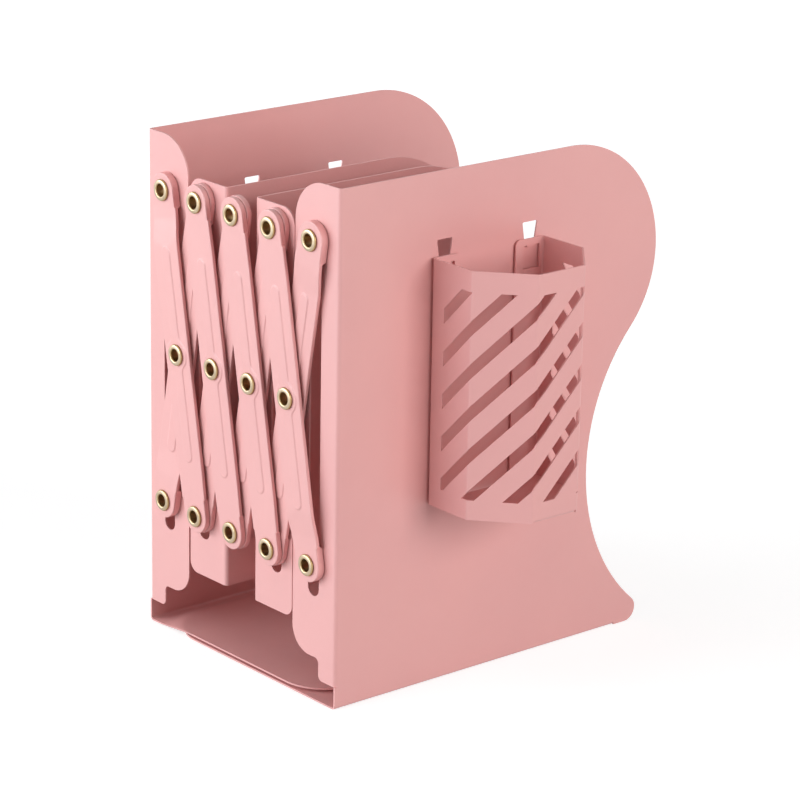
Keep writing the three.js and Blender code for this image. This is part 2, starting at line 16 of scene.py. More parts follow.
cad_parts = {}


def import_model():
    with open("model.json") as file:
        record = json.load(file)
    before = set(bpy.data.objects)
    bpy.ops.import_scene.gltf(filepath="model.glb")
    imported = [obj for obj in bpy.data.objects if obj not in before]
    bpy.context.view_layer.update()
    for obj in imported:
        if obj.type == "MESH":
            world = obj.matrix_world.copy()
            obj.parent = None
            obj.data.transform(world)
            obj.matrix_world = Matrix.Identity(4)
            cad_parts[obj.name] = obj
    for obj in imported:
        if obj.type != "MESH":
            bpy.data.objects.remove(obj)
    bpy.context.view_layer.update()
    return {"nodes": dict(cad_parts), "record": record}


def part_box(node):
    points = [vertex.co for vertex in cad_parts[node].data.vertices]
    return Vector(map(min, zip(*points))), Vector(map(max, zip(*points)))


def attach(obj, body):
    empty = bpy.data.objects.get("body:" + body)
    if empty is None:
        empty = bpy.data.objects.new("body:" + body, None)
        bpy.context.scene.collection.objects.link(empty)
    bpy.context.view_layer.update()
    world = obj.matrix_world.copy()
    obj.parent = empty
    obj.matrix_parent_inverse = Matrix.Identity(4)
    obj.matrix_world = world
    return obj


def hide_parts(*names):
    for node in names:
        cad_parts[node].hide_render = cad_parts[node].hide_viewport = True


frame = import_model()

# Sheet. GAP is what is left between layers that lie on each other.
SHEET = 0.0007
GAP = 0.0003
BEND = 0.0016
BEND_STEPS = 6
EDGE_SOFTNESS = 0.00016
EDGE_SEGMENTS = 2
EDGE_ANGLE = math.radians(40)
WELD = 1e-6
QUARTER = math.pi / 2

# Steps round arcs and circles
ARC_STEP = math.radians(3)
CIRCLE_STEPS = 48
HOOK_HOLE_STEPS = 3
SMALL_CORNER_STEPS = 8
CORNER_STEPS = 16
FLANGE_BOTTOM_STEPS = 20
LARGE_CORNER_STEPS = 24
SLOT_END_STEPS = 16

# End plates. The upper foot rises by FOOT_RISE from RAMP_START to RAMP_END.
CROWN_RADIUS = 0.048
CROWN_Y = 0.1176
WAIST_RADIUS = 0.0841
WAIST_Z = 0.073
TOE_RADIUS = 0.0055
FLANGE_WIDTH = 0.0269
FLANGE_TOP_RADIUS = 0.0165
FLANGE_BOTTOM_Z = 0.0184
FLANGE_BOTTOM_RADIUS = 0.0104
HEEL_WIDTH = 0.0104
HEEL_Z = 0.0095
HEEL_RADIUS = 0.0022
FOOT_REACH = 0.111
FOOT_REAR = 0.15
FOOT_RADIUS = 0.019
FOOT_RISE = 0.0018
RAMP_START = 0.0026
RAMP_END = 0.0109
RAMP_STEP = 0.0014
RAMP_ROWS = 12
HOOK_HOLE_BELOW_TOP = 0.0272
HOOK_HOLE_HEIGHT = 0.0101
HOOK_HOLE_TOP_WIDTH = 0.0077
HOOK_HOLE_BOTTOM_WIDTH = 0.0048
HOOK_HOLE_RADIUS = 0.0005
HOOK_Y = 0.0739
HOOK_SPACING = 0.044

# Dividers. The left one's flange is cut back, clear of the end plate's.
LEFT_DIVIDER_COLUMN = 2
RIGHT_DIVIDER_COLUMN = 4
LEFT_DIVIDER_CUT = 0.0006
DIVIDER_TOP_RADIUS = 0.007
DIVIDER_BOTTOM_RADIUS = 0.0045
DIVIDER_CROWN_RADIUS = 0.044
DIVIDER_CROWN_Y = 0.082
DIVIDER_WAIST_RADIUS = 0.062
DIVIDER_WAIST_DROP = 0.072
DIVIDER_TOE_RADIUS = 0.012

# Holes and slots for the rivets
HOLE_RADIUS = 0.0034
SLOT_BELOW_RIVET = 0.0136
DIVIDER_SLOT_BELOW_RIVET = 0.0109
SLOT_TOP_Z = 0.1647

# Pressed arms. A face is measured out from the flanges. An end without a partner is set in by
# OUTER_SET or INNER_SET. The cup is the round end, up to CUP_LENGTH from its rivet, and the rib
# ends RIB_FROM_END from that rivet.
OUTER_FACE = 0.0048
INNER_FACE = 0.0024
OUTER_SET = 0.0014
INNER_SET = -0.001
ARM_END_RADIUS = 0.007
ARM_HALF_WIDTH = 0.0079
ARM_EDGE = 0.0004
ARM_EDGE_STEPS = 5
ARM_BODY_DEPTH = 0.0013
CUP_LENGTH = 0.0067
CUP_STEP = 0.0008
CUP_JOG = 0.0006
ARM_STEP = 0.002
PAD_RADIUS = 0.0063
INNER_PAD_RADIUS = 0.0062
INNER_END_EXTRA = 0.0003
RIB_HALF_WIDTH = 0.0026
RIB_FROM_END = 0.02235
RIB_FILLET = 0.003
RIB_HEIGHT = 0.0004
RIB_FLANK = 0.0004
RIB_STEPS = 4
INNER_PAD_HEIGHT = 0.0011
BOSS_FOOT_RADIUS = 0.0054
BOSS_CREST_RADIUS = 0.0047
BOSS_STEPS = 6
ARM_END_STEPS = 30
CUP_POINTS = 6
CUP_STEP_POINTS = 4
PAD_STEPS = 10
RIB_SIDE_STEPS = 14

# Eyelets. The ring's shoulder has a depth in lips and a turn in quarters.
BORE_RADIUS = 0.0025
BARREL_RADIUS = 0.0031
EYELET_RADIUS = 0.0044
EYELET_CROWN = 0.001
EYELET_LIP = 0.0006
EYELET_SHOULDER = 1.2
EYELET_SHOULDER_TURN = 0.8
EYELET_LIP_STEPS = 6
REAR_RADIUS = 0.0042
REAR_ROLL = 0.0007
REAR_LIP = 0.0005
REAR_LIP_STEPS = 5
EYELET_SIDES = 64

# Pen holder. Its corners are counted along the wall from the near tab's free edge. The slats
# are drawn on the unfolded wall: the first starts SLAT_FIRST over the bottom at the near corner,
# and one shorter than SLAT_LEAST is left out.
PEN_WIDTH = 0.0576
PEN_DEPTH = 0.0433
PEN_SIDE_DEPTH = 0.0238
PEN_FRONT_WIDTH = 0.0232
PEN_TAB_WIDTH = 0.015
PEN_TAB_RADIUS = 0.0025
PEN_BEND = 0.0015
PEN_STANDOFF = 0.0006
PEN_NEAR_CORNER = 1
PEN_FRONT_CORNER = 3
PEN_FAR_CORNER = 6
SLAT_PITCH = 0.0172
SLAT_OPENING = 0.0062
SLAT_FIRST = 0.074
SLAT_COUNT = 11
SLAT_LEAST = 0.004
SLAT_MARGIN_SIDE = 0.0076
SLAT_MARGIN_TOP = 0.0084
SLAT_MARGIN_BOTTOM = 0.008
WINDOW_WIDTH = 0.0085
WINDOW_HEIGHT = 0.0096
HOOK_WIDTH = 0.0041
HOOK_DROP = 0.007
HOOK_SEAT = 0.0002
HOOK_ROOT = 0.0004

# Camera and stage
CAMERA_AZIMUTH = math.radians(49.77)
CAMERA_ELEVATION = math.radians(17.84)
CAMERA_ROLL = math.radians(1.03)
CAMERA_DISTANCE = 1.3398
CAMERA_LENS = 150.7
CAMERA_SENSOR = 36
AIM = Vector((0.02655, 0.06, 0.10721))
FLOOR_RADIUS = 6
FLOOR_DROP = 0.0002
FLOOR_TONE = 0.5
FLOOR_ROUGHNESS = 0.9
FLOOR_SPECULAR = 0.1
FLOOR_GLOW_NEAR = 0.72
FLOOR_GLOW_FAR = 1
FLOOR_FADE = (0.35, 1.6)

# Lamps, with places and sizes in metres and power in watts
WORLD_LIGHT = 0.19
LAMP_AIM = (0, 0, 0.1)
KEY_PLACE = (-1.06, -1.98, 0.56)
KEY_SIZE = (2.6, 0.7)
KEY_POWER = 56
KEY_COLOUR = (0.89, 0.965, 1)
SIDE_PLACE = (2.15, 0.38, 0.81)
SIDE_SIZE = (1.4, 1.1)
SIDE_POWER = 32
SIDE_COLOUR = (1, 0.985, 0.97)
TOP_PLACE = (-0.3, -0.9, 2.1)
TOP_SIZE = (1.2, 1.0)
TOP_POWER = 6
TOP_COLOUR = (1, 1, 1)

# Most values of a noise lie between these
NOISE_LOW = 0.35
NOISE_HIGH = 0.65

# Powder coat. Colours are linear, a noise has a scale per metre and a detail, and a bump has a
# strength and a height in metres.
PINK = (0.80, 0.385, 0.372)
PINK_WARM = (0.825, 0.399, 0.382)
PINK_CLOUD_NOISE = (22, 4)
PINK_ROUGHNESS = (0.44, 0.56)
PINK_GLOSS_NOISE = (160, 3)
PINK_SPECULAR = 0.75
PINK_COAT_WEIGHT = 0.25
PINK_COAT_ROUGHNESS = 0.2
PEEL_NOISE = (900, 2)
PEEL_BUMP = (0.22, 0.00012)
GRAIN_NOISE = (3200, 2)
GRAIN_BUMP = (0.12, 0.00004)

# Antique brass. The crest faces forwards, so the Y of its normal is near -1. Where the normal turns
# from the front, the dark colour is partly lacquer and partly painted shade.
BRASS = (0.49, 0.39, 0.275)
BRASS_WORN = (0.40, 0.30, 0.19)
# The dark colour of the bore and the flanks: lacquer, and painted shade.
BRASS_LACQUER_AND_SHADE = (0.42, 0.29, 0.14)
BRASS_WEAR = 0.6
BRASS_WEAR_NOISE = (260, 5)
BRASS_CREST_Y = (-0.95, -0.7)
BRASS_ROUGHNESS = (0.3, 0.46)
BRASS_ROUGH_NOISE = (700, 4)
BRASS_PIT_NOISE = (2400, 3)
BRASS_PIT_BUMP = (0.15, 0.00003)


# Places shared by the pieces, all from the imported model
LEFT_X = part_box("left_end_plate")[0].x
RIGHT_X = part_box("right_end_plate")[1].x
FRONT_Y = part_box("left_end_plate")[0].y
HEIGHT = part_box("left_end_plate")[1].z
CENTRE_X = (LEFT_X + RIGHT_X) / 2
PEN_BOTTOM_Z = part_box("pen_holder")[0].z
PEN_TOP_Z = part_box("pen_holder")[1].z
HOOK_HOLE_TOP_Z = HEIGHT - HOOK_HOLE_BELOW_TOP
HOOK_HOLE_BOTTOM_Z = HOOK_HOLE_TOP_Z - HOOK_HOLE_HEIGHT
HOOK_TOP_Z = HOOK_HOLE_BOTTOM_Z + HOOK_SEAT + SHEET


def rivet(name):
    """Centre of a rivet, on the flanges' front."""
    low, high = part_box(name)
    return Vector(((low.x + high.x) / 2, FRONT_Y, (low.z + high.z) / 2))


def arc(centre, radius, start, end, steps=None):
    """Points of an arc, in order from one angle to the other."""
    count = steps or max(2, math.ceil(abs(end - start) / ARC_STEP))
    turn = (end - start) / count
    angles = [start + turn * i for i in range(count + 1)]
    return [(centre[0] + radius * math.cos(a), centre[1] + radius * math.sin(a)) for a in angles]


def circle(centre, radius):
    """Points of a circle, without the first one again at the end."""
    return arc(centre, radius, 0, 2 * math.pi, CIRCLE_STEPS)[1:]


def smooth(share):
    """Eases a share from 0 to 1, and holds it at its ends."""
    share = min(max(share, 0), 1)
    return share * share * (3 - 2 * share)


def is_inside(point, loop):
    """Whether a point lies inside a closed loop."""
    x, y = point
    inside = False
    for (ax, ay), (bx, by) in zip(loop, loop[1:] + loop[:1]):
        if (ay > y) != (by > y) and x < ax + (bx - ax) * (y - ay) / (by - ay):
            inside = not inside
    return inside


class Surface:
    """The outer faces of one sheet part, welded where they meet."""

    def __init__(self):
        self.mesh = bmesh.new()
        self.known = {}

    def vertex(self, place):
        """The vertex at a place, which faces that meet there share."""
        key = tuple(round(value / WELD) for value in place)
        if key not in self.known:
            self.known[key] = self.mesh.verts.new(place)
        return self.known[key]

    def face(self, places, outward):
        """Adds a face, turned outward; outward may be a function of the face's middle."""
        corners = []
        for place in places:
            corner = self.vertex(place)
            if corner not in corners:
                corners.append(corner)
        if len(corners) < 3:
            return
        face = self.mesh.faces.new(corners)
        face.normal_update()
        direction = outward(face.calc_center_median()) if callable(outward) else outward
        if face.normal.dot(direction) < 0:
            face.normal_flip()

    def fill(self, outline, holes, place, outward, lines=()):
        """Fills an outline, less its holes, and keeps the given lines as edges."""
        points, edges = [], []
        for loop in [outline, *holes]:
            first = len(points)
            points += loop
            edges += [(first + i, first + (i + 1) % len(loop)) for i in range(len(loop))]
        for line in lines:
            first = len(points)
            points += line
            edges += [(first + i, first + i + 1) for i in range(len(line) - 1)]
        found = delaunay_2d_cdt([Vector(p) for p in points], edges, [], 0, WELD / 10)
        for corners in found[2]:
            flat = [found[0][i] for i in corners]
            middle = sum(flat, Vector((0, 0))) / len(flat)
            if is_inside(middle, outline) and not any(is_inside(middle, h) for h in holes):
                self.face([place(*p) for p in flat], outward)

    def strip(self, first, second, outward):
        """Joins two closed rows of equal count with four-sided faces."""
        count = len(first)
        for i in range(count):
            j = (i + 1) % count
            self.face([first[i], first[j], second[j], second[i]], outward)

    def finish(self, name):
        """Turns the faces into an object."""
        data = bpy.data.meshes.new(name)
        self.mesh.to_mesh(data)
        self.mesh.free()
        return new_object(name, data)


def new_object(name, data):
    """An object in the scene; a mesh is shaded smooth."""
    piece = bpy.data.objects.new(name, data)
    bpy.context.scene.collection.objects.link(piece)
    if isinstance(data, bpy.types.Mesh):
        data.shade_smooth()
    return piece


def thicken(piece):
    """Gives a surface the thickness of the sheet, with softened cut edges."""
    solid = piece.modifiers.new("sheet", "SOLIDIFY")
    solid.thickness = SHEET
    solid.offset = -1
    solid.use_even_offset = True
    bevel = piece.modifiers.new("soft_edges", "BEVEL")
    bevel.width = EDGE_SOFTNESS
    bevel.segments = EDGE_SEGMENTS
    bevel.limit_method = "ANGLE"
    bevel.angle_limit = EDGE_ANGLE
    bevel.use_clamp_overlap = True
    normals = piece.modifiers.new("normals", "WEIGHTED_NORMAL")
    normals.keep_sharp = False


def dress(piece, node, body, material):
    """Dresses a piece, and puts it in the place of its CAD node."""
    piece.data.materials.append(material)
    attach(piece, body)
    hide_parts(node)


# Materials

def node_material(name):
    """A material, with its nodes, its links and its shader."""
    material = bpy.data.materials.new(name)
    material.use_nodes = True
    nodes = material.node_tree.nodes
    return material, nodes, material.node_tree.links, nodes["Principled BSDF"]


def noise(nodes, links, source, scale, detail):
    """A noise in the object's own space."""
    texture = nodes.new("ShaderNodeTexNoise")
    texture.inputs["Scale"].default_value = scale
    texture.inputs["Detail"].default_value = detail
    links.new(source.outputs["Object"], texture.inputs["Vector"])
    return texture.outputs["Fac"]


def remap(nodes, links, value, low, high, start=NOISE_LOW, end=NOISE_HIGH):
    """Stretches a value, which is a noise where no start and end are given, to a range."""
    node = nodes.new("ShaderNodeMapRange")
    node.inputs["From Min"].default_value = start
    node.inputs["From Max"].default_value = end
    node.inputs["To Min"].default_value = low
    node.inputs["To Max"].default_value = high
    links.new(value, node.inputs["Value"])
    return node.outputs["Result"]


def mixed_colour(nodes, links, value, first, second):
    """Mixes two colours, of which the first may be the output of another node."""
    node = nodes.new("ShaderNodeMix")
    node.data_type = "RGBA"
    if isinstance(first, bpy.types.NodeSocket):
        links.new(first, node.inputs["A"])
    else:
        node.inputs["A"].default_value = (*first, 1)
    node.inputs["B"].default_value = (*second, 1)
    links.new(value, node.inputs["Factor"])
    return node.outputs["Result"]


def bump(nodes, links, value, strength, distance, below=None):
    """A bump, which may lie on the bump below."""
    node = nodes.new("ShaderNodeBump")
    node.inputs["Strength"].default_value = strength
    node.inputs["Distance"].default_value = distance
    links.new(value, node.inputs["Height"])
    if below is not None:
        links.new(below, node.inputs["Normal"])
    return node.outputs["Normal"]


def powder_coat(name):
    """Pink powder coat: a fine orange peel, with faint changes of tone and gloss."""
    material, nodes, links, shader = node_material(name)
    source = nodes.new("ShaderNodeTexCoord")
    cloud = remap(nodes, links, noise(nodes, links, source, *PINK_CLOUD_NOISE), 0, 1)
    links.new(mixed_colour(nodes, links, cloud, PINK, PINK_WARM), shader.inputs["Base Color"])
    gloss = remap(nodes, links, noise(nodes, links, source, *PINK_GLOSS_NOISE), *PINK_ROUGHNESS)
    links.new(gloss, shader.inputs["Roughness"])
    shader.inputs["Specular IOR Level"].default_value = PINK_SPECULAR
    shader.inputs["Coat Weight"].default_value = PINK_COAT_WEIGHT
    shader.inputs["Coat Roughness"].default_value = PINK_COAT_ROUGHNESS
    peel = bump(nodes, links, noise(nodes, links, source, *PEEL_NOISE), *PEEL_BUMP)
    grain = bump(nodes, links, noise(nodes, links, source, *GRAIN_NOISE), *GRAIN_BUMP, peel)
    links.new(grain, shader.inputs["Normal"])
    return material


def brass(name):
    """Antique brass, worn off the crest in front. The bore and the flanks, which turn from the
    front, take a dark colour that is partly lacquer and partly painted shade.
    """
    material, nodes, links, shader = node_material(name)
    source = nodes.new("ShaderNodeTexCoord")
    facing = nodes.new("ShaderNodeSeparateXYZ")
    links.new(source.outputs["Normal"], facing.inputs["Vector"])
    worn = remap(nodes, links, noise(nodes, links, source, *BRASS_WEAR_NOISE), 0, BRASS_WEAR)
    crest = mixed_colour(nodes, links, worn, BRASS, BRASS_WORN)
    # Painted shade: surfaces turned from the front take the dark colour, which stands for lacquer
    # and for the shade in the bore and at the rim.
    lacquer_and_shade = remap(nodes, links, facing.outputs["Y"], 0, 1, *BRASS_CREST_Y)
    links.new(mixed_colour(nodes, links, lacquer_and_shade, crest, BRASS_LACQUER_AND_SHADE), shader.inputs["Base Color"])
    shader.inputs["Metallic"].default_value = 1
    rough = remap(nodes, links, noise(nodes, links, source, *BRASS_ROUGH_NOISE), *BRASS_ROUGHNESS)
    links.new(rough, shader.inputs["Roughness"])
    pits = bump(nodes, links, noise(nodes, links, source, *BRASS_PIT_NOISE), *BRASS_PIT_BUMP)
    links.new(pits, shader.inputs["Normal"])
    return material


PINK_COAT = powder_coat("pink_powder_coat")
EYELET_BRASS = brass("eyelet_brass")


# Bent plates

def tangent_outline(front, bottom, top, crown_y, crown_radius, waist, waist_radius, toe_radius):
    """The S-shaped edge of a plate from its toe to its crown: three arcs that run on smoothly."""
    crown = (crown_y, top - crown_radius)
    lean = math.atan2(waist[1] - crown[1], waist[0] - crown[0])
    rise = waist[1] - bottom - toe_radius
    reach = math.sqrt((waist_radius + toe_radius) ** 2 - rise ** 2)
    toe_lean = math.atan2(rise, reach)
    toe = (waist[0] - reach, bottom + toe_radius)
    return [
        *arc(toe, toe_radius, -QUARTER, toe_lean),
        *arc(waist, waist_radius, math.pi + toe_lean, math.pi + lean)[1:],
        *arc(crown, crown_radius, lean, QUARTER)[1:],
        (front, top),
    ]


def waist_centre(crown_y, top, crown_radius, waist_radius, waist_z):
    """Centre of the waist's arc, which touches the crown's."""
    drop = top - crown_radius - waist_z
    return (crown_y + math.sqrt((crown_radius + waist_radius) ** 2 - drop ** 2), waist_z)


def hook_hole(centre):
    """A hook hole, which narrows downwards, with its corners just rounded."""
    r = HOOK_HOLE_RADIUS
    top, bottom = HOOK_HOLE_TOP_WIDTH / 2 - r, HOOK_HOLE_BOTTOM_WIDTH / 2 - r
    high, low = HOOK_HOLE_TOP_Z - r, HOOK_HOLE_BOTTOM_Z + r
    return [
        *arc((centre - bottom, low), r, math.pi, math.pi + QUARTER, HOOK_HOLE_STEPS),
        *arc((centre + bottom, low), r, -QUARTER, 0, HOOK_HOLE_STEPS),
        *arc((centre + top, high), r, 0, QUARTER, HOOK_HOLE_STEPS),
        *arc((centre - top, high), r, QUARTER, math.pi, HOOK_HOLE_STEPS),
    ]


# How far in and how far round the points of a quarter bend lie
BEND_ARC = arc((BEND, BEND), BEND, math.pi, math.pi + QUARTER, BEND_STEPS)


class BentPlate:
    """A plate with a flange bent in at its front, and the ways in which its places are written."""

    def __init__(self, node, side):
        low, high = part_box(node)
        self.face_x = high.x if side > 0 else low.x
        self.side = side
        self.surface = Surface()

    def row(self, u, y, z):
        """A place on the sheet, in the frame."""
        return Vector((self.face_x - self.side * u, FRONT_Y + y, z))

    def outwards(self, u, y, z):
        """A direction, in the frame."""
        return Vector((-self.side * u, y, z))

    def plate(self, outline, holes):
        self.surface.fill(outline, holes, lambda y, z: self.row(0, y, z), self.outwards(-1, 0, 0))

    def flange(self, outline, holes):
        self.surface.fill(outline, holes, lambda u, z: self.row(u, 0, z), Vector((0, -1, 0)))

    def rivet_holes(self, column, slot_below):
        """The round hole and the slot in the flange of a column."""
        top = rivet(f"top_rivet_{column}")
        u = abs(top.x - self.face_x)
        low = rivet(f"bottom_rivet_{column}").z - slot_below + HOLE_RADIUS
        slot = [
            *arc((u, low), HOLE_RADIUS, math.pi, 2 * math.pi, SLOT_END_STEPS),
            *arc((u, SLOT_TOP_Z), HOLE_RADIUS, 0, math.pi, SLOT_END_STEPS),
        ]
        return [circle((u, top.z), HOLE_RADIUS), slot]

    def bend(self, low, high, place, outward):
        """A quarter bend from low to high. place takes how far in, how far round and where along."""
        for first, second in zip(BEND_ARC, BEND_ARC[1:]):
            lows = [place(*first, low), place(*second, low)]
            highs = [place(*second, high), place(*first, high)]
            self.surface.face(lows + highs, outward)


def end_plate_outline():
    waist = waist_centre(CROWN_Y, HEIGHT, CROWN_RADIUS, WAIST_RADIUS, WAIST_Z)
    return [
        (0, BEND),
        (FOOT_REAR, BEND),
        (FOOT_REAR, 0),
        *tangent_outline(BEND, 0, HEIGHT, CROWN_Y, CROWN_RADIUS, waist, WAIST_RADIUS, TOE_RADIUS),
        (BEND, HEEL_Z),
        (0, HEEL_Z),
    ]


def end_flange_outline():
    w, h = FLANGE_WIDTH, HEIGHT
    top = (w - FLANGE_TOP_RADIUS, h - FLANGE_TOP_RADIUS)
    bottom = (w - FLANGE_BOTTOM_RADIUS, FLANGE_BOTTOM_Z + FLANGE_BOTTOM_RADIUS)
    heel = (HEEL_WIDTH - HEEL_RADIUS, HEEL_Z + HEEL_RADIUS)
    notch = (HEEL_WIDTH + HEEL_RADIUS, FLANGE_BOTTOM_Z - HEEL_RADIUS)
    return [
        (BEND, HEEL_Z),
        *arc(heel, HEEL_RADIUS, -QUARTER, 0, SMALL_CORNER_STEPS),
        *arc(notch, HEEL_RADIUS, math.pi, QUARTER, SMALL_CORNER_STEPS),
        *arc(bottom, FLANGE_BOTTOM_RADIUS, -QUARTER, 0, FLANGE_BOTTOM_STEPS),
        *arc(top, FLANGE_TOP_RADIUS, 0, QUARTER, LARGE_CORNER_STEPS),
        (BEND, h),
    ]


def foot_outline():
    r = FOOT_RADIUS
    return [
        (BEND, 0),
        *arc((FOOT_REACH - r, r), r, -QUARTER, 0, LARGE_CORNER_STEPS),
        *arc((FOOT_REACH - r, FOOT_REAR - r), r, 0, QUARTER, LARGE_CORNER_STEPS),
        (BEND, FOOT_REAR),
    ]


def ramp_z(u, y):
    """Height of the upper foot, which climbs onto the rounded front corner of the lower one."""
    short = max(FOOT_RADIUS - y, 0)
    end = RAMP_END + FOOT_RADIUS - math.sqrt(FOOT_RADIUS ** 2 - short ** 2)
    return FOOT_RISE * smooth((u - RAMP_START) / (end - RAMP_START))


def ramp_lines():
    """Edges across the ramp, with points that close up towards its front."""
    rows = [FOOT_RADIUS * (i / RAMP_ROWS) ** 2 for i in range(RAMP_ROWS + 1)] + [FOOT_REAR]
    count = math.ceil((RAMP_END + FOOT_RADIUS - RAMP_START) / RAMP_STEP)
    return [[(RAMP_START + RAMP_STEP * i, y) for y in rows] for i in range(count + 1)]


def end_plate(side):
    """The right end plate, where side is 1, or the left one, whose foot lies on the other's."""
    name = "right_end" if side > 0 else "left_end"
    node = name + "_plate"
    sheet = BentPlate(node, side)
    holes = [hook_hole(HOOK_Y + turn * HOOK_SPACING / 2) for turn in (-1, 1)]
    sheet.plate(end_plate_outline(), holes)
    column = rivet_columns() if side > 0 else 1
    sheet.flange(end_flange_outline(), sheet.rivet_holes(column, SLOT_BELOW_RIVET))
    sheet.bend(HEEL_Z, HEIGHT, sheet.row, sheet.outwards(-1, -1, 0))

    def foot(u, y):
        return sheet.row(u, y, ramp_z(u, y) if side < 0 else 0)

    lines = ramp_lines() if side < 0 else []
    sheet.surface.fill(foot_outline(), [], foot, Vector((0, 0, -1)), lines)
    sheet.bend(0, FOOT_REAR, lambda u, z, y: sheet.row(u, y, z), sheet.outwards(-1, 0, -1))

    piece = sheet.surface.finish(name + "_sheet")
    thicken(piece)
    dress(piece, node, name, PINK_COAT)


def divider(side):
    """The left divider, where side is 1 and the flange points left, or the right one."""
    name = "left_divider" if side > 0 else "right_divider"
    column = LEFT_DIVIDER_COLUMN if side > 0 else RIGHT_DIVIDER_COLUMN
    low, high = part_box(name)
    sheet = BentPlate(name, side)
    crown_radius, waist_radius = DIVIDER_CROWN_RADIUS, DIVIDER_WAIST_RADIUS
    waist_z = high.z - crown_radius - DIVIDER_WAIST_DROP
    waist = waist_centre(DIVIDER_CROWN_Y, high.z, crown_radius, waist_radius, waist_z)
    rear = tangent_outline(BEND, low.z, high.z, DIVIDER_CROWN_Y, crown_radius, waist, waist_radius,
                           DIVIDER_TOE_RADIUS)
    sheet.plate([(BEND, low.z), *rear], [])
    cut = LEFT_DIVIDER_CUT if side > 0 else 0
    width = high.x - low.x - cut
    top = (width - DIVIDER_TOP_RADIUS, high.z - DIVIDER_TOP_RADIUS)
    bottom = (width - DIVIDER_BOTTOM_RADIUS, low.z + DIVIDER_BOTTOM_RADIUS)
    flange = [
        (BEND, low.z),
        *arc(bottom, DIVIDER_BOTTOM_RADIUS, -QUARTER, 0, CORNER_STEPS),
        *arc(top, DIVIDER_TOP_RADIUS, 0, QUARTER, CORNER_STEPS),
        (BEND, high.z),
    ]
    sheet.flange(flange, sheet.rivet_holes(column, DIVIDER_SLOT_BELOW_RIVET))
    sheet.bend(low.z, high.z, sheet.row, sheet.outwards(-1, -1, 0))
    piece = sheet.surface.finish(name + "_sheet")
    thicken(piece)
    dress(piece, name, name, PINK_COAT)


# Pressed arms

